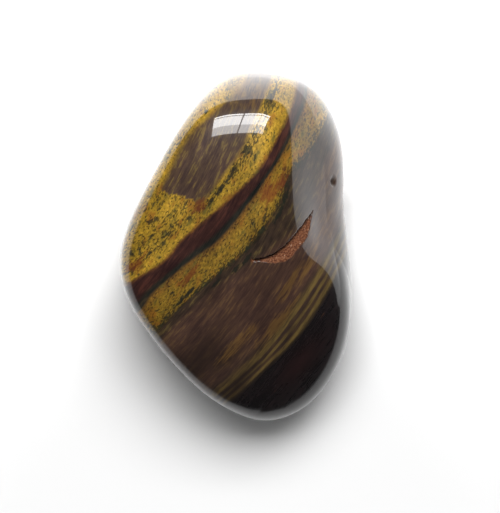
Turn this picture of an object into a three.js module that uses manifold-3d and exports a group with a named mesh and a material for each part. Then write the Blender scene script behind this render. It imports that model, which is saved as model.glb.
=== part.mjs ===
// A polished, tumbled tiger's eye pebble, made as one solid.
// Millimetres, +Z up. The origin is on the rest face, under the middle of the stone.
// The stone runs along Y, with its thick end towards +Y and its thin end towards -Y.
import * as THREE from 'three';
import { mergeVertices } from 'three/addons/utils/BufferGeometryUtils.js';
import Module from 'manifold-3d';

// Driving dimensions: the widest outline seen from above, anticlockwise from the thick end.
const OUTLINE = [
  [0.7, 11.9], [-0.9, 11.4], [-2.4, 9.8], [-4.5, 6.4], [-6.4, 2.6],
  [-7.6, -0.5], [-7.4, -2.8], [-5.8, -5.7], [-2.4, -9.6], [-0.2, -11.1],
  [2.1, -11.8], [4.9, -10.7], [7.0, -7.6], [7.8, -3.4], [7.8, 0.2],
  [7.4, 3.2], [7.1, 7.3], [5.5, 10.3], [3.3, 11.5],
];

// The heart is the inner point that every part of the surface is measured from.
const HEART_HEIGHT = 3.65;
const UNDERSIDE_REACH = 3.75;

// The side wall is a barrel: this is where it would close over the heart. A large value
// makes the wall upright, a small one makes it bulge.
const BARREL_REACH = 40;

// Worn-down faces of the crown: compass bearing and lean of each face in degrees,
// anticlockwise from +X and down from level, and its distance from the heart.
const CROWN_FACES = {
  table: { bearing: 0, lean: 0, reach: 6.9 },
  thickShoulder: { bearing: 90, lean: 24, reach: 9.3 },
  thickEnd: { bearing: 90, lean: 60, reach: 11.1 },
  leftFlank: { bearing: 155, lean: 62, reach: 9.5 },
  rightFlank: { bearing: 12, lean: 52, reach: 7.3 },
  thinSlope: { bearing: 260, lean: 14, reach: 6.8 },
  thinCorner: { bearing: 305, lean: 30, reach: 6.8 },
};

// How sharp the worn edges are: a high power keeps an edge, a low power rounds it away.
const CROWN_EDGE_POWER = 14;
const UNDERSIDE_EDGE_POWER = 2.4;

// A broad hollow worn into the right flank, measured from the heart.
const HOLLOW = { centre: [5.2, 0.6, 2.8], depth: 1.3, spread: 2.8 };

// A crescent chip across the edge above the hollow. The upper lip has a steep wall, and
// the broken floor rises from its foot to the lower lip. Both lips are seen from above.
const CHIP_UPPER_LIP = [[1.4, -0.9], [2.4, -0.6], [3.3, 0.1], [4.0, 0.9], [4.9, 2.1]];
const CHIP_LOWER_LIP = [[1.5, -1.2], [2.7, -1.2], [3.5, -0.9], [4.1, -0.2], [4.7, 0.6], [5.0, 2.0]];
const CHIP_DEPTH = 0.35;
const CHIP_TIP_DEPTH = 0.06;
const CHIP_RUN_OUT = 0.25;
const CHIP_CLEARANCE = 1.0;
const CHIP_STATIONS = 14;

// A small pit in the right flank, higher than it is wide.
const PIT = { place: [6.4, 4.2], halfWidth: 0.26, halfHeight: 0.55, halfDepth: 0.22 };

// How finely the surface is divided: along each edge of the starting icosahedron,
// over the small pit, and around the outline curve.
const SURFACE_DIVISIONS = 18;
const PIT_DIVISIONS = 2;
const OUTLINE_SAMPLES = 720;
const BISECTION_STEPS = 40;

const wasm = await Module();
wasm.setup();

const toVector = ([x, y, z = 0]) => new THREE.Vector3(x, y, z);

function directionAt(azimuth, elevation) {
  const level = Math.cos(elevation);
  return new THREE.Vector3(level * Math.cos(azimuth), level * Math.sin(azimuth), Math.sin(elevation));
}

const crownFaces = Object.values(CROWN_FACES).map(({ bearing, lean, reach }) => ({
  normal: directionAt(THREE.MathUtils.degToRad(bearing), THREE.MathUtils.degToRad(90 - lean)),
  reach,
}));

const outlineCurve = new THREE.CatmullRomCurve3(OUTLINE.map(toVector), true, 'centripetal');
const outlineSamples = outlineCurve.getPoints(OUTLINE_SAMPLES)
  .map(({ x, y }) => ({ azimuth: Math.atan2(y, x), radius: Math.hypot(x, y) }))
  .sort((first, second) => first.azimuth - second.azimuth);

const wrapAngle = (angle) => Math.atan2(Math.sin(angle), Math.cos(angle));

// Distance from the heart to the outline, seen from above.
function outlineRadius(azimuth) {
  const found = outlineSamples.findIndex((sample) => sample.azimuth > azimuth);
  const index = Math.max(found, 0);
  const after = outlineSamples[index];
  const before = outlineSamples.at(index - 1);
  const gap = wrapAngle(after.azimuth - before.azimuth);
  const share = gap > 0 ? wrapAngle(azimuth - before.azimuth) / gap : 0;
  return THREE.MathUtils.lerp(before.radius, after.radius, share);
}

// One over the distance from the heart to the worn surface: the side wall and the crown
// faces meet in tight edges, and the underside joins them in a wide round.
function closeness(direction) {
  const outward = Math.hypot(direction.x, direction.y);
  const radius = outlineRadius(Math.atan2(direction.y, direction.x));
  let crown = Math.hypot(outward / radius, direction.z / BARREL_REACH) ** CROWN_EDGE_POWER;
  for (const { normal, reach } of crownFaces) {
    crown += Math.max(0, normal.dot(direction) / reach) ** CROWN_EDGE_POWER;
  }
  const under = Math.max(0, -direction.z / UNDERSIDE_REACH) ** UNDERSIDE_EDGE_POWER;
  const joined = crown ** (UNDERSIDE_EDGE_POWER / CROWN_EDGE_POWER) + under;
  return joined ** (1 / UNDERSIDE_EDGE_POWER);
}

const hollowCentre = toVector(HOLLOW.centre);

// Point of the surface in a direction from the heart, raised above it by lift.
function surfacePoint(direction, lift = 0) {
  const point = direction.clone().divideScalar(closeness(direction));
  const away = point.distanceToSquared(hollowCentre) / (2 * HOLLOW.spread ** 2);
  return point.addScaledVector(direction, lift - HOLLOW.depth * Math.exp(-away));
}

// Direction from the heart to the place on the crown that is above plan point (x, y).
function directionOver({ x, y }) {
  const azimuth = Math.atan2(y, x);
  let low = 0;
  let high = Math.PI / 2;
  for (let step = 0; step < BISECTION_STEPS; step += 1) {
    const middle = (low + high) / 2;
    const point = surfacePoint(directionAt(azimuth, middle));
    if (Math.hypot(point.x, point.y) > Math.hypot(x, y)) {
      low = middle;
    } else {
      high = middle;
    }
  }
  return directionAt(azimuth, low);
}

function plainGeometry(geometry) {
  geometry.deleteAttribute('normal');
  geometry.deleteAttribute('uv');
  return mergeVertices(geometry);
}

function toSolid(geometry) {
  return new wasm.Manifold(new wasm.Mesh({
    numProp: 3,
    vertProperties: Float32Array.from(geometry.attributes.position.array),
    triVerts: Uint32Array.from(geometry.index.array),
  }));
}

function toGeometry(solid) {
  const { vertProperties, triVerts } = solid.getMesh();
  const geometry = new THREE.BufferGeometry();
  geometry.setAttribute('position', new THREE.BufferAttribute(vertProperties, 3));
  geometry.setIndex(new THREE.BufferAttribute(triVerts, 1));
  return geometry;
}

// The whole pebble before the damage: an icosahedron, stretched so that its triangles
// come out even, with every point moved out to the surface.
function wornBody() {
  const geometry = plainGeometry(new THREE.IcosahedronGeometry(1, SURFACE_DIVISIONS));
  const stretch = new THREE.Box3().setFromPoints(OUTLINE.map(toVector)).getSize(new THREE.Vector3());
  stretch.z = HEART_HEIGHT + CROWN_FACES.table.reach;
  const positions = geometry.attributes.position;
  const corner = new THREE.Vector3();
  for (let index = 0; index < positions.count; index += 1) {
    corner.fromBufferAttribute(positions, index).multiply(stretch).normalize();
    positions.setXYZ(index, ...surfacePoint(corner));
  }
  return geometry;
}

// A closed skin over a row of four-cornered sections.
function loft(sections) {
  const sides = sections[0].length;
  const last = (sections.length - 1) * sides;
  const triangles = [0, 1, 2, 0, 2, 3, last, last + 2, last + 1, last, last + 3, last + 2];
  for (let row = 0; row < last; row += sides) {
    for (let side = 0; side < sides; side += 1) {
      const next = (side + 1) % sides;
      triangles.push(row + side, row + sides + side, row + next);
      triangles.push(row + next, row + sides + side, row + sides + next);
    }
  }
  const geometry = new THREE.BufferGeometry().setFromPoints(sections.flat());
  geometry.setIndex(triangles);
  return geometry;
}

// What the chip takes away: a wedge that is deepest under the upper lip.
function chipWedge() {
  const upperLip = new THREE.CatmullRomCurve3(CHIP_UPPER_LIP.map(toVector));
  const lowerLip = new THREE.CatmullRomCurve3(CHIP_LOWER_LIP.map(toVector));
  const sections = [];
  for (let station = 0; station <= CHIP_STATIONS; station += 1) {
    const share = station / CHIP_STATIONS;
    const depth = CHIP_TIP_DEPTH + (CHIP_DEPTH - CHIP_TIP_DEPTH) * Math.sin(Math.PI * share);
    const upper = upperLip.getPointAt(share);
    const lower = lowerLip.getPointAt(share);
    const beyond = lower.clone().add(lower.clone().sub(upper).setLength(CHIP_RUN_OUT));
    const wall = directionOver(upper);
    const edge = directionOver(lower);
    const outside = directionOver(beyond);
    const floorFoot = surfacePoint(wall, -depth);
    const floorEdge = surfacePoint(edge);
    const floorRise = floorEdge.clone().sub(floorFoot).setLength(CHIP_RUN_OUT);
    sections.push([
      floorFoot,
      floorEdge.add(floorRise),
      surfacePoint(outside, CHIP_CLEARANCE),
      surfacePoint(wall, CHIP_CLEARANCE),
    ]);
  }
  return loft(sections);
}

// What the pit takes away: a small egg, half sunk in the flank.
function pitEgg() {
  const { place, halfWidth, halfHeight, halfDepth } = PIT;
  const geometry = plainGeometry(new THREE.IcosahedronGeometry(1, PIT_DIVISIONS));
  geometry.scale(halfDepth, halfWidth, halfHeight);
  geometry.rotateZ(Math.atan2(place[1], place[0]));
  geometry.translate(...surfacePoint(directionOver(toVector(place))));
  return geometry;
}

// The ground, as a block whose top is the rest face.
function groundBlock() {
  const side = 60;
  const depth = 5;
  const geometry = plainGeometry(new THREE.BoxGeometry(side, side, depth));
  geometry.translate(0, 0, -HEART_HEIGHT - depth / 2);
  return geometry;
}

function stoneGeometry() {
  const solid = toSolid(wornBody())
    .subtract(toSolid(groundBlock()))
    .subtract(toSolid(chipWedge()))
    .subtract(toSolid(pitEgg()));
  const geometry = toGeometry(solid);
  geometry.computeBoundingBox();
  const middle = geometry.boundingBox.getCenter(new THREE.Vector3());
  geometry.translate(-middle.x, -middle.y, HEART_HEIGHT);
  geometry.computeVertexNormals();
  return geometry;
}

const polishedStone = new THREE.MeshStandardMaterial({ color: 0x5b4020, roughness: 0.12, metalness: 0 });
const stone = new THREE.Mesh(stoneGeometry(), polishedStone);
stone.name = 'stone';

const part = new THREE.Group();
part.add(stone);

export default part;
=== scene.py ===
"""A polished, tumbled tiger's eye pebble on a pale floor, seen from straight above."""

import math

import bmesh
import bpy
import numpy as np
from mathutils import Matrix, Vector, noise
from mathutils.bvhtree import BVHTree


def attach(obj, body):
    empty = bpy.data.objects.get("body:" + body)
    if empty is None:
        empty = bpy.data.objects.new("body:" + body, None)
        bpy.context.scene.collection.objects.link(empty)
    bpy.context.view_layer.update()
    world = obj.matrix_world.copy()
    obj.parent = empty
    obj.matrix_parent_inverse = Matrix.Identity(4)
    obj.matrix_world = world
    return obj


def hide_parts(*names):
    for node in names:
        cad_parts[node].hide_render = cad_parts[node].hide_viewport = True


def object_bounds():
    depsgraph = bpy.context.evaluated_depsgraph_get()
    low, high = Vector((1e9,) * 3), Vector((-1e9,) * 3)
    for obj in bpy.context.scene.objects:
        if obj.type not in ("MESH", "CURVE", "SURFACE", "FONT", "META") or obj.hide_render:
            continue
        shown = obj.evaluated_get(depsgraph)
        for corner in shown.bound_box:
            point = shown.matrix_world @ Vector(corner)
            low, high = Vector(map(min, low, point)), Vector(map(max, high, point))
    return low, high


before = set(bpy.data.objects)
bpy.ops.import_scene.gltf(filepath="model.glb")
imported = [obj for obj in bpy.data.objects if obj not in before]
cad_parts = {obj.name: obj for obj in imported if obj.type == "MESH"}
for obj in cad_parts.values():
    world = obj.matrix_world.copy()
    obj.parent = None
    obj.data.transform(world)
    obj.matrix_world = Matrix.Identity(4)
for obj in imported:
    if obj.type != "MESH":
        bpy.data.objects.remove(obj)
cad_low, cad_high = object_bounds()

# Units and the frame's own sizes, in metres.
MM = 0.001
HALF_SIZE = np.array(cad_high - cad_low) / 2
HEART = Vector((0.0, 0.0, 0.35 * cad_high.z))

# The picture, and where the stone's upright axis meets it at girdle height.
PICTURE_SIZE = np.array((500.0, 513.0))
STONE_PIXEL = np.array((236.0, 245.0))
PIXELS_PER_METRE = 15130.0
CAMERA_HEIGHT = 0.25
SENSOR = 36.0

# The fine mesh: divisions of the starting sphere, and rounds of smoothing that take the
# flat facets out of the solid before the damage is cut in again.
SPHERE_DIVISIONS = 7
SMOOTHING_ROUNDS = 70
FILLING_ROUNDS = 300
REFINING_ROUNDS = 2
REFINING_MARGIN = 0.25 * MM

# The crescent chip, with its lips in millimetres seen from above, and the pit, about as in the solid.
CHIP_UPPER_LIP = ((1.4, -0.9), (2.4, -0.6), (3.3, 0.1), (4.0, 0.9), (4.9, 2.1))
CHIP_LOWER_LIP = ((1.4, -1.1), (2.7, -1.2), (3.5, -0.9), (4.1, -0.2), (4.7, 0.6), (5.0, 2.1))
CHIP_DEPTH = 0.34 * MM
CHIP_WALL = 0.05 * MM
CHIP_RAGGED = 0.05 * MM
CHIP_GRIT = 0.035 * MM
# How far inside the chip's upper lip the painted shadow of its wall reaches.
CHIP_LIP_SHADOW_REACH = (0.05 * MM, 0.28 * MM)
PIT_PLACE = np.array((6.4, 4.2)) * MM
PIT_HALF_SIZE = np.array((0.24, 0.46)) * MM
PIT_DEPTH = 0.14 * MM

# The edges between the bands, in pixels of the picture, each from lower left to upper right.
BAND_EDGES = (
    ((120, 258), (140, 226), (154, 200), (166, 176), (177, 152),
     (192, 130), (213, 111), (238, 90), (250, 66)),
    ((124, 274), (150, 248), (180, 222), (205, 202), (222, 180),
     (242, 152), (251, 129), (268, 91), (276, 64)),
    ((112, 300), (132, 281), (164, 262), (184, 238), (222, 206),
     (258, 172), (283, 129), (294, 104), (300, 72)),
    ((116, 330), (140, 309), (153, 291), (188, 261), (221, 236),
     (257, 190), (282, 152), (303, 105), (309, 72)),
    ((128, 356), (158, 330), (182, 307), (216, 277), (250, 247),
     (280, 204), (289, 176), (314, 146), (338, 96)),
    ((134, 362), (164, 336), (190, 310), (224, 281), (258, 259),
     (300, 226), (312, 205), (330, 152), (348, 116)),
    ((186, 416), (218, 392), (257, 359), (288, 320), (318, 276), (337, 240), (356, 200)),
    ((204, 424), (230, 400), (260, 373), (299, 334), (325, 294), (345, 256), (364, 214)),
)
END_REACH = 12 * MM
CURVE_STEPS = 8

# The fibres run in arcs about a far point, and the layers lean this much per millimetre down.
GRAIN_CENTRE = np.array((-29.3, 21.2)) * MM
GRAIN_RADIUS = 35.0
LAYER_DIP = np.array((0.35, -0.30))

# Local stains, as pixel places with a half length along the fibres and a half width across them.
RUST_SPOTS = (
    (136, 266, 16, 9), (279, 184, 22, 7), (270, 192, 16, 9), (190, 275, 24, 3.5), (200, 207, 12, 6),
)
OCHRE_SPOTS = (
    (276, 325, 34, 8), (290, 284, 30, 6), (240, 342, 30, 7), (308, 264, 22, 9), (240, 86, 26, 13),
    (255, 95, 22, 9),
)
WINE_SPOTS = ((300, 362, 24, 11),)
DUSK_SPOTS = ((198, 364, 36, 22), (222, 360, 24, 14), (236, 386, 26, 9))
DARK_DASHES = (
    (233, 172, 11, 2.2), (221, 189, 10, 2.6), (244, 150, 9, 1.8), (272, 98, 13, 2.0), (211, 201, 9, 2.0),
    (247, 259, 10, 2.2), (236, 269, 8, 2.0), (279, 214, 13, 2.4), (286, 196, 9, 2.0), (216, 283, 8, 1.8),
    (150, 221, 6, 2.6), (158, 208, 5, 2.2), (143, 243, 6, 2.4), (190, 292, 9, 2.0), (180, 301, 8, 2.0),
)

# The lower edge of the brown patch, with half its softness, in pixels.
PATCH_FOOT = ((150, 186), (178, 196), (214, 206))
PATCH_SOFTNESS = 6

# Stains end where the surface turns under, and the layers lean only below this skin.
STAIN_FADE = (0.3 * MM, 1.5 * MM)
TOP_SKIN = 0.2 * MM

# Width in millimetres of the bands outside the first and the last edge.
OUTER_WIDTH = 4


def focal_pixels():
    """The focal length in pixels that gives the picture's scale at girdle height."""
    return PIXELS_PER_METRE * (CAMERA_HEIGHT - HEART.z)


def make_camera():
    """The camera looks straight down, with the picture's up along +Y."""
    data = bpy.data.cameras.new("camera")
    data.sensor_width = SENSOR
    data.lens = SENSOR * focal_pixels() / PICTURE_SIZE.max()
    data.clip_start = 0.01
    camera = bpy.data.objects.new("camera", data)
    offset = (PICTURE_SIZE / 2 - STONE_PIXEL) / PIXELS_PER_METRE
    camera.location = (offset[0], -offset[1], CAMERA_HEIGHT)
    bpy.context.scene.collection.objects.link(camera)
    bpy.context.scene.camera = camera
    return camera


def solid_tree(node):
    """The CAD node's surface, ready for rays."""
    mesh = node.data
    corners = [vertex.co.copy() for vertex in mesh.vertices]
    faces = [tuple(polygon.vertices) for polygon in mesh.polygons]
    return BVHTree.FromPolygons(corners, faces)


def plan_point(pixel, camera, tree):
    """Plan place of the stone, or of the level of its heart beside it, that a pixel shows."""
    across, down = (np.array(pixel) - PICTURE_SIZE / 2) / focal_pixels()
    ray = Vector((across, -down, -1.0))
    spot = tree.ray_cast(camera.location, ray)[0]
    if spot is None:
        spot = camera.location + ray * (camera.location.z - HEART.z)
    return np.array(spot)[:2]


def smooth_curve(points, reach=0.0):
    """A Catmull-Rom curve through plan points, with straight ends of a given reach."""
    points = np.array(points, float)
    first = 2 * points[0] - points[1]
    last = 2 * points[-1] - points[-2]
    knots = np.vstack((first, points, last))
    steps = np.arange(CURVE_STEPS)[:, None] / CURVE_STEPS
    parts = []
    for a, b, c, d in zip(knots, knots[1:], knots[2:], knots[3:]):
        bend = 2 * a - 5 * b + 4 * c - d
        twist = 3 * b - a - 3 * c + d
        parts.append(b + 0.5 * steps * (c - a + steps * (bend + steps * twist)))
    curve = np.vstack((*parts, points[-1:]))
    if reach:
        start = (curve[0] - curve[1]) / np.linalg.norm(curve[0] - curve[1])
        end = (curve[-1] - curve[-2]) / np.linalg.norm(curve[-1] - curve[-2])
        curve = np.vstack((curve[0] + reach * start, curve, curve[-1] + reach * end))
    return curve


def offset_from(points, curve):
    """Distance of plan points from a curve, positive on its right."""
    nearest = np.full(len(points), np.inf)
    signed = np.zeros(len(points))
    for start, end in zip(curve, curve[1:]):
        step = end - start
        share = np.clip((points - start) @ step / (step @ step), 0, 1)
        away = points - start - share[:, None] * step
        distance = np.hypot(away[:, 0], away[:, 1])
        right = step[1] * (points[:, 0] - start[0]) - step[0] * (points[:, 1] - start[1])
        closer = distance < nearest
        nearest[closer] = distance[closer]
        signed[closer] = (distance * np.where(right < 0, -1, 1))[closer]
    return signed


def smoothstep(low, high, values):
    share = np.clip((values - low) / (high - low), 0, 1)
    return share * share * (3 - 2 * share)


def wobble(points, scale):
    """Smooth noise from -1 to 1 at each point, with bumps of the given size."""
    return np.array([noise.noise(Vector(point) / scale) for point in points])


def neighbour_mean(values, edges, counts):
    total = np.bincount(edges[:, 0], values[edges[:, 1]], len(values))
    total += np.bincount(edges[:, 1], values[edges[:, 0]], len(values))
    return total / counts


def chip_offsets(plan):
    """How far plan points are inside the chip's upper lip, and inside its lower lip."""
    upper = offset_from(plan, smooth_curve(CHIP_UPPER_LIP) * MM)
    lower = -offset_from(plan, smooth_curve(CHIP_LOWER_LIP) * MM)
    return upper, lower


def pit_offset(plan):
    """How far plan points are inside the pit's rim, as a share of its half size."""
    return 1 - np.hypot(*((plan - PIT_PLACE) / PIT_HALF_SIZE).T)


def damage_depth(positions):
    """How far plan points on the crown are inside the chip or the pit."""
    plan = positions[:, :2]
    pit = pit_offset(plan) * PIT_HALF_SIZE.min()
    depth = np.maximum(np.minimum(*chip_offsets(plan)), pit)
    return np.where(positions[:, 2] > HEART.z, depth, -1.0)


def whole_body(tree):
    """The stone as a fine mesh without its damage, and with the solid's facets smoothed away."""
    body = bmesh.new()
    bmesh.ops.create_icosphere(body, subdivisions=SPHERE_DIVISIONS, radius=1.0)
    directions = np.array([vertex.co for vertex in body.verts]) * HALF_SIZE
    directions /= np.linalg.norm(directions, axis=1)[:, None]
    reach = np.array([tree.ray_cast(HEART, Vector(direction))[3] for direction in directions])
    edges = np.array([[vertex.index for vertex in edge.verts] for edge in body.edges])
    counts = np.bincount(edges.ravel())
    damaged = damage_depth(np.array(HEART) + directions * reach[:, None]) > -REFINING_MARGIN
    for _ in range(FILLING_ROUNDS):
        reach[damaged] = neighbour_mean(reach, edges, counts)[damaged]
    for _ in range(SMOOTHING_ROUNDS):
        reach = (reach + neighbour_mean(reach, edges, counts)) / 2
    positions = np.array(HEART) + directions * reach[:, None]
    positions[:, 2] = np.maximum(positions[:, 2], 0.0)
    for vertex, position in zip(body.verts, positions):
        vertex.co = position
    return body


def refine_damage(body):
    """Finer triangles where the chip and the pit are."""
    for _ in range(REFINING_ROUNDS):
        body.verts.index_update()
        close = damage_depth(np.array([vertex.co for vertex in body.verts])) > -REFINING_MARGIN
        edges = [edge for edge in body.edges if all(close[vertex.index] for vertex in edge.verts)]
        split = bmesh.ops.subdivide_edges(body, edges=edges, cuts=1, use_grid_fill=True)
        bmesh.ops.triangulate(body, faces=[face for face in body.faces if len(face.verts) > 3])
        added = [item for item in split["geom_inner"] if isinstance(item, bmesh.types.BMVert)]
        every_axis = {"use_axis_x": True, "use_axis_y": True, "use_axis_z": True}
        bmesh.ops.smooth_vert(body, verts=added, factor=0.5, **every_axis)


def cut_damage(positions, outward):
    """Cuts the chip and the pit, and gives the chip, the painted shadow at its upper lip and the pit as
    shares from 0 to 1.
    """
    plan = positions[:, :2]
    on_crown = positions[:, 2] > HEART.z
    near = on_crown & (damage_depth(positions) > -REFINING_MARGIN)
    chip, lip_shadow, pit = (np.zeros(len(positions)) for _ in range(3))
    upper, lower = chip_offsets(plan[near])
    ragged = wobble(positions[near], 0.22 * MM) + 0.4 * wobble(positions[near], 0.08 * MM)
    ragged *= CHIP_RAGGED
    upper = upper + ragged
    lower = lower + ragged
    inside = np.clip(np.minimum(upper, lower) / CHIP_WALL, 0, 1)
    rise = np.clip(lower, 0, None) / np.clip(upper + lower, 1e-6, None)
    grit = wobble(positions[near], 0.13 * MM) + 0.7 * wobble(positions[near], 0.06 * MM)
    depth = CHIP_DEPTH * rise * np.clip(upper / CHIP_WALL, 0, 1) + CHIP_GRIT * grit * inside
    chip[near] = inside
    # Painted shadow that the upper wall casts on the chip's floor, darkest at the lip.
    lip_shadow[near] = 1 - smoothstep(*CHIP_LIP_SHADOW_REACH, upper)
    pit[near] = smoothstep(0.0, 0.8, pit_offset(plan[near]))
    cut = np.zeros(len(positions))
    cut[near] = depth + PIT_DEPTH * pit[near]
    return positions - outward * cut[:, None], chip, lip_shadow, pit


def depth_below(positions, tree):
    """How far points lie under the top of the stone, so that the layers can lean below it."""
    tops = []
    for x, y, z in positions:
        hit = tree.ray_cast(Vector((x, y, 2 * cad_high.z)), Vector((0.0, 0.0, -1.0)))[0]
        tops.append(z if hit is None else hit.z)
    return np.clip(np.array(tops) - positions[:, 2] - TOP_SKIN, 0, None)


def band_fields(plan, curves):
    """Band number with its share, and bands per millimetre."""
    offsets = [offset_from(plan, curve) for curve in curves]
    last = len(curves) - 1
    band = np.clip(offsets[0] / MM / OUTER_WIDTH, -1, 0)
    density = np.full(len(plan), 1 / OUTER_WIDTH)
    for number in range(last):
        left = offsets[number]
        right = -offsets[number + 1]
        width = np.abs(left) + np.abs(right)
        here = (left > 0) & (right > 0)
        band[here] = (number + left / width)[here]
        density[here] = (MM / width)[here]
    beyond = offsets[last] > 0
    band[beyond] = np.clip(last + offsets[last] / MM / OUTER_WIDTH, last, last + 1)[beyond]
    density[beyond] = 1 / OUTER_WIDTH
    return band, np.clip(density, 0, 1.5)


def grain_place(plan):
    """Millimetres across the fibres and along them."""
    from_centre = plan - GRAIN_CENTRE
    across = np.hypot(from_centre[:, 0], from_centre[:, 1]) / MM
    along = np.arctan2(from_centre[:, 1], from_centre[:, 0]) * GRAIN_RADIUS
    return across, along


def stain(plan, spots, camera, tree):
    """A soft stain around each pixel place, drawn out along the fibres, from 0 to 1."""
    across, along = grain_place(plan)
    pixel = MM * PIXELS_PER_METRE
    amount = np.zeros(len(plan))
    for x, y, half_length, half_width in spots:
        middle_across, middle_along = grain_place(plan_point((x, y), camera, tree)[None, :])
        along_share = (along - middle_along) * pixel / half_length
        across_share = (across - middle_across) * pixel / half_width
        away = np.hypot(along_share, across_share)
        amount = np.maximum(amount, np.exp(-away**2))
    return amount


def build_stone(camera):
    tree = solid_tree(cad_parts["stone"])
    body = whole_body(tree)
    refine_damage(body)
    positions = np.array([vertex.co for vertex in body.verts])
    outward = positions - np.array(HEART)
    outward /= np.linalg.norm(outward, axis=1)[:, None]
    shaped, chip, lip_shadow, pit = cut_damage(positions, outward)
    for vertex, position in zip(body.verts, shaped):
        vertex.co = position
    mesh = bpy.data.meshes.new("polished_stone")
    body.to_mesh(mesh)
    body.free()
    mesh.polygons.foreach_set("use_smooth", [True] * len(mesh.polygons))

    def curve_of(pixels, reach):
        return smooth_curve([plan_point(pixel, camera, tree) for pixel in pixels], reach)

    below = depth_below(positions, tree)
    plan = positions[:, :2] + below[:, None] * LAYER_DIP
    band, density = band_fields(plan, [curve_of(edge, END_REACH) for edge in BAND_EDGES])
    on_top = 1 - smoothstep(*STAIN_FADE, below)
    above_foot = -offset_from(plan, curve_of(PATCH_FOOT, END_REACH)) * PIXELS_PER_METRE
    across, along = grain_place(plan)
    fields = {
        "band": band,
        "density": density,
        "across": across,
        "along": along,
        "patch": smoothstep(-PATCH_SOFTNESS, PATCH_SOFTNESS, above_foot),
        "rust": stain(plan, RUST_SPOTS, camera, tree) * on_top,
        "ochre": stain(plan, OCHRE_SPOTS, camera, tree) * on_top,
        "wine": stain(plan, WINE_SPOTS, camera, tree) * on_top,
        "dusk": stain(plan, DUSK_SPOTS, camera, tree) * on_top,
        "ink": stain(plan, DARK_DASHES, camera, tree) * on_top,
        "chip": chip,
        "chip_lip_shadow": lip_shadow,
        "pit": pit,
    }
    for name, values in fields.items():
        mesh.attributes.new(name, "FLOAT", "POINT").data.foreach_set("value", values.astype(np.float32))
    stone = bpy.data.objects.new("polished_stone", mesh)
    bpy.context.scene.collection.objects.link(stone)
    return stone


# The light on the stone is stronger than plain white, so its own colours are this share
# of the colours that are seen.
STONE_TONE = 0.62


def colour(red, green, blue):
    """The stone's own colour for a seen colour in the usual 0 to 255 values."""
    shares = [value / 255 for value in (red, green, blue)]
    linear = [s / 12.92 if s <= 0.04045 else ((s + 0.055) / 1.055) ** 2.4 for s in shares]
    return (*(STONE_TONE * value for value in linear), 1.0)


def grey(value):
    return (value, value, value, 1.0)


class Weave:
    """Short names for the shader nodes of one material."""

    def __init__(self, name):
        self.material = bpy.data.materials.new(name)
        self.material.use_nodes = True
        self.tree = self.material.node_tree
        self.shader = self.tree.nodes["Principled BSDF"]

    def add(self, kind, inputs, **settings):
        node = self.tree.nodes.new(kind)
        for name, value in settings.items():
            setattr(node, name, value)
        self.fill(node, inputs)
        return node

    def fill(self, node, inputs):
        for socket, value in inputs.items():
            if isinstance(value, bpy.types.NodeSocket):
                self.tree.links.new(value, node.inputs[socket])
            else:
                node.inputs[socket].default_value = value

    def attribute(self, name):
        return self.add("ShaderNodeAttribute", {}, attribute_name=name).outputs["Fac"]

    def math(self, operation, first, second=0.0):
        return self.add("ShaderNodeMath", {0: first, 1: second}, operation=operation).outputs[0]

    def vector(self, x, y, z):
        return self.add("ShaderNodeCombineXYZ", {0: x, 1: y, 2: z}).outputs[0]

    def noise(self, vector, detail=2.0):
        inputs = {"Vector": vector, "Scale": 1.0, "Detail": detail}
        return self.add("ShaderNodeTexNoise", inputs).outputs["Fac"]

    def step(self, value, low, high):
        inputs = {"Value": value, "From Min": low, "From Max": high}
        return self.add("ShaderNodeMapRange", inputs, interpolation_type="SMOOTHSTEP").outputs["Result"]

    def blend(self, share, first, second, way="MIX"):
        inputs = {0: share, 6: first, 7: second}
        node = self.add("ShaderNodeMix", inputs, data_type="RGBA", blend_type=way)
        return node.outputs[2]

    def ramp(self, value, stops):
        node = self.add("ShaderNodeValToRGB", {"Fac": value})
        elements = node.color_ramp.elements
        while len(elements) < len(stops):
            elements.new(1.0)
        for element, (place, shade) in zip(elements, stops):
            element.position = place
            element.color = shade
        return node.outputs["Color"]


# Dark, middle and light colour of each kind of band.
SHADES = {
    "yellow": ((118, 94, 34), (168, 133, 41), (200, 158, 52)),
    "mustard": ((98, 76, 32), (142, 111, 38), (172, 134, 46)),
    "orange": ((84, 56, 30), (122, 86, 38), (148, 108, 42)),
    "edge": ((66, 42, 30), (96, 62, 34), (126, 88, 40)),
    "red": ((46, 27, 27), (60, 36, 32), (82, 48, 40)),
    "green": ((30, 32, 28), (42, 42, 36), (66, 56, 42)),
    "olive": ((40, 36, 28), (62, 50, 36), (98, 80, 40)),
    "dark": ((48, 38, 32), (64, 50, 40), (94, 78, 48)),
    "brown": ((66, 47, 42), (80, 58, 48), (98, 73, 52)),
    "ochre": ((80, 64, 42), (98, 80, 47), (112, 92, 52)),
    "gap": ((48, 37, 33), (60, 46, 39), (74, 57, 42)),
    "black": ((21, 19, 20), (27, 23, 24), (33, 26, 27)),
}
PATCH_SHADES = ((66, 50, 46), (84, 65, 52), (114, 93, 54))

# Which kind each band is, by band number and share.
BAND_KINDS = (
    (-1.0, "yellow"), (1.85, "yellow"), (2.0, "edge"), (2.12, "red"), (2.7, "red"), (2.85, "green"),
    (3.0, "green"), (3.1, "orange"), (3.35, "mustard"), (3.9, "mustard"), (3.98, "olive"), (4.15, "dark"),
    (4.8, "dark"), (5.1, "brown"), (5.85, "brown"), (5.93, "gap"), (6.0, "ochre"), (6.12, "ochre"),
    (6.2, "gap"), (6.36, "gap"), (6.44, "ochre"), (6.52, "ochre"), (6.6, "gap"), (6.72, "gap"),
    (6.82, "ochre"), (6.95, "ochre"), (7.03, "black"), (8.0, "black"),
)
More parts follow.
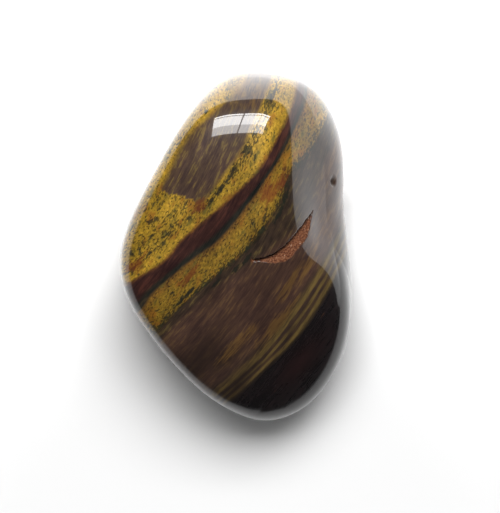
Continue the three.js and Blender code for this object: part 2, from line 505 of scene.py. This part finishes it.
# How mottled the bands are, from fibrous at 0 to speckled at 1, and how many dark specks they have.
MOTTLE = ((1.95, 1.0), (2.1, 0.0), (3.0, 0.0), (3.1, 1.0), (3.95, 1.0), (4.1, 0.0))
SPECKS = (
    (-1.0, 0.5), (1.0, 0.6), (1.25, 0.8), (1.45, 0.5), (1.95, 0.4), (2.05, 0.0), (2.95, 0.0), (3.1, 0.5),
    (3.7, 0.5), (3.9, 0.8), (4.1, 0.6), (4.3, 0.0),
)

# Colours of tints, specks and stains, and of the broken stone in the chip from dark to a painted glint.
ORANGE_TINT = colour(150, 98, 36)
OLIVE_TINT = colour(100, 92, 42)
SPECK = colour(44, 40, 28)
LARGE_SPECK = colour(40, 46, 36)
INK = colour(34, 36, 30)
WINE = colour(46, 28, 28)
DUSK = colour(40, 31, 28)
RUST = colour(118, 58, 32)
OCHRE = colour(122, 90, 46)
# Painted shade for the pit's hollow and painted shadow under the chip's upper lip.
PIT_PAINTED_SHADE = colour(58, 50, 46)
CHIP_LIP_PAINTED_SHADOW = colour(40, 28, 24)
CHIP_TONES_AND_PAINTED_GLINTS = (
    (0.35, colour(78, 42, 28)), (0.5, colour(122, 74, 48)), (0.66, colour(144, 96, 66)),
    (0.76, colour(205, 190, 172)),
)
CHIP_GRAINS_PER_METRE = 9000.0


def band_place(number):
    """Ramp place of a band number, which runs from -1 to the number of edges."""
    return (number + 1) / (len(BAND_EDGES) + 1)


def stone_material():
    weave = Weave("tiger_eye")
    across = weave.attribute("across")
    along = weave.attribute("along")
    object_place = weave.add("ShaderNodeTexCoord", {}).outputs["Object"]
    height = weave.add("ShaderNodeSeparateXYZ", {0: object_place}).outputs[2]
    height = weave.math("DIVIDE", height, MM)
    skewed = weave.math("ADD", across, weave.math("MULTIPLY", along, 0.08))

    def grain(cross_scale, long_scale, height_scale, detail):
        """Noise drawn out along the fibres; the scales are bumps per millimetre."""
        return weave.noise(weave.vector(
            weave.math("MULTIPLY", skewed, cross_scale),
            weave.math("MULTIPLY", along, long_scale),
            weave.math("MULTIPLY", height, height_scale),
        ), detail)

    fine = grain(12.0, 1.1, 1.0, 2.0)
    streaks = grain(4.0, 0.45, 0.5, 3.0)
    mottle = grain(9.0, 5.0, 3.0, 3.0)
    dashes = grain(11.0, 4.0, 2.0, 2.0)
    large_dashes = grain(4.2, 1.5, 1.0, 2.0)
    broad = grain(0.8, 0.3, 0.3, 2.0)
    wave = grain(0.9, 0.8, 0.3, 2.0)
    tint = grain(2.2, 0.9, 0.6, 3.0)
    hatch = grain(6.0, 2.0, 1.0, 3.0)

    def centred(value, size):
        return weave.math("MULTIPLY", weave.math("SUBTRACT", value, 0.5), size)

    shift = weave.math("ADD", centred(streaks, 0.35), centred(wave, 0.7))
    shift = weave.math("ADD", shift, centred(mottle, 0.25))
    shift = weave.math("MULTIPLY", shift, weave.attribute("density"))
    band = weave.math("ADD", weave.attribute("band"), shift)
    place = weave.math("DIVIDE", weave.math("ADD", band, 1.0), len(BAND_EDGES) + 1.0)

    def by_band(stops):
        return weave.ramp(place, [(band_place(number), grey(value)) for number, value in stops])

    fibres = weave.math("ADD", centred(fine, 0.7), centred(streaks, 0.9))
    fibres = weave.math("ADD", weave.math("ADD", 0.5, fibres), centred(hatch, 0.5))
    texture = weave.add("ShaderNodeMix", {0: by_band(MOTTLE), 2: fibres, 3: mottle}).outputs[0]
    texture = weave.math("ADD", texture, centred(broad, 0.35))

    def three_tone(dark, middle, light):
        low = weave.blend(weave.step(texture, 0.3, 0.5), dark, middle)
        return weave.blend(weave.step(texture, 0.52, 0.7), low, light)

    tones = []
    for tone in range(3):
        stops = [(band_place(number), colour(*SHADES[kind][tone])) for number, kind in BAND_KINDS]
        tones.append(weave.ramp(place, stops))
    base = three_tone(*tones)

    tinted = weave.math("MULTIPLY", by_band(MOTTLE), 0.8)
    orange = weave.math("MULTIPLY", weave.step(tint, 0.54, 0.72), tinted)
    base = weave.blend(orange, base, ORANGE_TINT)
    olive = weave.math("MULTIPLY", weave.step(tint, 0.46, 0.3), tinted)
    base = weave.blend(olive, base, OLIVE_TINT)

    in_patch = weave.math("MULTIPLY", weave.step(band, -0.05, 0.1), weave.step(band, 1.05, 0.9))
    foot = weave.math("ADD", weave.attribute("patch"), centred(streaks, 1.6))
    in_patch = weave.math("MULTIPLY", in_patch, weave.step(foot, 0.35, 0.65))
    dark, middle, light = (colour(*shade) for shade in PATCH_SHADES)
    patch = weave.blend(weave.step(fibres, 0.3, 0.5), dark, middle)
    patch = weave.blend(weave.step(fibres, 0.52, 0.68), patch, light)
    base = weave.blend(in_patch, base, patch)

    speck_share = weave.math("MULTIPLY", by_band(SPECKS), weave.math("SUBTRACT", 1.0, in_patch))
    threshold = weave.math("SUBTRACT", 0.78, weave.math("MULTIPLY", speck_share, 0.4))
    specks = weave.step(weave.math("SUBTRACT", dashes, threshold), -0.02, 0.08)
    large = weave.step(weave.math("SUBTRACT", large_dashes, threshold), 0.05, 0.1)
    ink = weave.step(weave.math("ADD", weave.attribute("ink"), centred(mottle, 0.8)), 0.4, 0.6)
    base = weave.blend(weave.math("MULTIPLY", specks, 0.8), base, SPECK)
    base = weave.blend(weave.math("MULTIPLY", large, 0.75), base, LARGE_SPECK)
    base = weave.blend(weave.math("MULTIPLY", ink, 0.85), base, INK)
    base = weave.blend(weave.math("MULTIPLY", weave.attribute("wine"), 0.7), base, WINE)
    base = weave.blend(weave.math("MULTIPLY", weave.attribute("dusk"), 0.8), base, DUSK)

    rust = weave.step(weave.math("ADD", weave.attribute("rust"), centred(fibres, 1.4)), 0.4, 0.9)
    base = weave.blend(weave.math("MULTIPLY", rust, 0.7), base, RUST)
    ochre = weave.step(weave.math("ADD", weave.attribute("ochre"), centred(fibres, 1.6)), 0.4, 1.1)
    base = weave.blend(weave.math("MULTIPLY", ochre, 0.6), base, OCHRE)
    tone = weave.ramp(broad, ((0.3, grey(0.8)), (0.7, grey(1.2))))
    base = weave.blend(1.0, base, tone, "MULTIPLY")

    scaling = {0: object_place, 3: CHIP_GRAINS_PER_METRE}
    grit_place = weave.add("ShaderNodeVectorMath", scaling, operation="SCALE").outputs[0]
    # Broken stone colour whose lightest grains are painted glints.
    broken_and_painted_light = weave.ramp(weave.noise(grit_place, 3.0), CHIP_TONES_AND_PAINTED_GLINTS)
    # Painted shadow under the chip's upper lip.
    broken_and_painted_light = weave.blend(weave.attribute("chip_lip_shadow"), broken_and_painted_light, CHIP_LIP_PAINTED_SHADOW)
    base = weave.blend(weave.attribute("chip"), base, broken_and_painted_light)
    # Painted shade darkens the pit's hollow.
    base = weave.blend(weave.math("MULTIPLY", weave.attribute("pit"), 0.7), base, PIT_PAINTED_SHADE)

    damage = weave.math("MAXIMUM", weave.attribute("chip"), weave.attribute("pit"))
    roughness = weave.math("ADD", 0.3, weave.math("MULTIPLY", damage, 0.4))
    weave.fill(weave.shader, {
        "Base Color": base, "Roughness": roughness, "IOR": 1.54, "Specular IOR Level": 0.1,
        "Coat Weight": weave.math("SUBTRACT", 1.0, damage), "Coat Roughness": 0.03, "Coat IOR": 1.54,
    })
    return weave.material


# Painted glow on the floor beyond the stone, painted shade on the near side and in front, as the polish
# shows.
FLOOR_HALF = 2.0
FLOOR_LEVEL = -0.02 * MM
FLOOR_GLOW = 1.3
FLOOR_GREY = 0.86
NEAR_FLOOR_PAINTED_SHADE = 0.66
FRONT_FLOOR_PAINTED_SHADE = 0.16
FRONT_FLOOR_REACH = (-0.1, -0.018)


def make_floor():
    mesh = bpy.data.meshes.new("floor")
    signs = ((-1, -1), (1, -1), (1, 1), (-1, 1))
    corners = [(x * FLOOR_HALF, y * FLOOR_HALF, FLOOR_LEVEL) for x, y in signs]
    mesh.from_pydata(corners, [], [(0, 1, 2, 3)])
    floor = bpy.data.objects.new("floor", mesh)
    bpy.context.scene.collection.objects.link(floor)
    weave = Weave("floor_painted_glow_and_shade")
    place = weave.add("ShaderNodeTexCoord", {}).outputs["Object"]
    forward = weave.add("ShaderNodeSeparateXYZ", {0: place}).outputs["Y"]
    bearing = weave.add("ShaderNodeVectorMath", {0: place}, operation="NORMALIZE").outputs[0]
    farness = weave.add("ShaderNodeSeparateXYZ", {0: bearing}).outputs["Y"]
    # Painted glow where the floor lies beyond the stone; painted shade, darker greys, nearer and in front.
    glow = weave.step(farness, 0.3, 0.9)
    shade = weave.blend(weave.step(farness, -0.8, -0.1), grey(NEAR_FLOOR_PAINTED_SHADE), grey(FLOOR_GREY))
    shade = weave.blend(weave.step(forward, *FRONT_FLOOR_REACH), grey(FRONT_FLOOR_PAINTED_SHADE), shade)
    weave.fill(weave.shader, {
        "Base Color": shade, "Roughness": 0.9, "Specular IOR Level": 0.1,
        "Emission Color": grey(1.0), "Emission Strength": weave.math("MULTIPLY", glow, FLOOR_GLOW),
    })
    mesh.materials.append(weave.material)


# The bright panes that the polish mirrors: upright, on the far side of the stone, as rows of
# (low, high, radiance).
PANES_DISTANCE = 0.8
PANES_MIDDLE = 0.2
PANES_HALF_WIDTH = 0.4
PANE_ROWS = ((0.42, 0.46, 18.0), (0.48, 0.78, 15.0), (0.78, 1.12, 8.0))
PANES_PER_ROW = 3
PANE_GAP = 0.012

# Soft light for the surfaces themselves: place, width, height and radiance. The polish does not mirror it.
SOFTBOXES = (((0.02, 0.5, 0.88), 0.8, 0.6, 11.0), ((0.0, 0.0, 0.9), 1.0, 1.0, 0.9))
ROOM_LIGHT = 0.03


def add_softbox(place, aim, width, height, radiance):
    data = bpy.data.lights.new("softbox", "AREA")
    data.shape = "RECTANGLE"
    data.size = width
    data.size_y = height
    data.energy = radiance * math.pi * width * height
    light = bpy.data.objects.new("softbox", data)
    light.location = place
    light.rotation_euler = (Vector(aim) - Vector(place)).to_track_quat("-Z", "Y").to_euler()
    bpy.context.scene.collection.objects.link(light)
    return light


def make_lights():
    pane_width = 2 * PANES_HALF_WIDTH / PANES_PER_ROW
    for low, high, radiance in PANE_ROWS:
        for number in range(PANES_PER_ROW):
            centre = PANES_MIDDLE - PANES_HALF_WIDTH + (number + 0.5) * pane_width
            place = (centre, PANES_DISTANCE, (low + high) / 2)
            pane = add_softbox(place, (centre, 0.0, place[2]), pane_width - PANE_GAP, high - low, radiance)
            pane.visible_diffuse = False
    for place, width, height, radiance in SOFTBOXES:
        softbox = add_softbox(place, HEART, width, height, radiance)
        softbox.visible_glossy = False
    world = bpy.data.worlds.new("room")
    world.use_nodes = True
    world.node_tree.nodes["Background"].inputs["Color"].default_value = grey(ROOM_LIGHT)
    bpy.context.scene.world = world
    bpy.context.scene.view_settings.view_transform = "Standard"


camera = make_camera()
stone = build_stone(camera)
stone.data.materials.append(stone_material())
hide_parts("stone")
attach(stone, "root")
make_floor()
make_lights()
